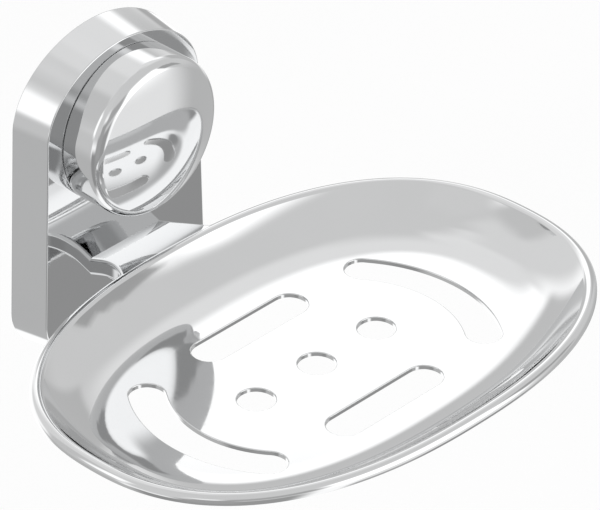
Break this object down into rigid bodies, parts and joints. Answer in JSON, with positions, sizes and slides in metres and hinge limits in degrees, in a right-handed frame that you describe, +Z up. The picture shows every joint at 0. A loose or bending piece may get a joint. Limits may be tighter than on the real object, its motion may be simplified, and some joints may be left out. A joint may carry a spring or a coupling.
{
  "type": "wall-mounted soap dish",
  "caption": "Polished chrome wall-mounted soap dish: an arched hollow base with a round domed knob carries a flared arm and an oval tray with drain holes and slots",
  "frame": {"origin": "the middle of the wall bracket's back face, on the wall plane, at half the base's height", "axes": "+Y into the wall, so the dish stands out towards -Y; +X to the right for someone facing the wall; +Z up"},
  "size_m": [0.135, 0.113, 0.0744],
  "materials": {
    "chrome": "polished chrome plate",
    "chrome_tray": "polished chrome plate on pressed sheet",
    "zinc_plate": "zinc plated, dull bright",
    "stainless": "stainless steel, turned"
  },
  "bodies": {
    "root": {"base_shell": "chrome", "wall_bracket": "zinc_plate", "set_screw": "stainless", "knob_cap": "chrome", "knob_spacer": "chrome", "knob_stud": "zinc_plate", "knob_washer": "zinc_plate", "knob_nut": "zinc_plate", "support_arm": "chrome", "arm_screw": "zinc_plate", "arm_washer": "zinc_plate", "arm_spring_washer": "zinc_plate", "dish": "chrome_tray", "dish_stud_left": "stainless", "dish_stud_right": "stainless", "dish_washer_left": "zinc_plate", "dish_washer_right": "zinc_plate", "dish_nut_left": "zinc_plate", "dish_nut_right": "zinc_plate"}
  },
  "joints": []
}
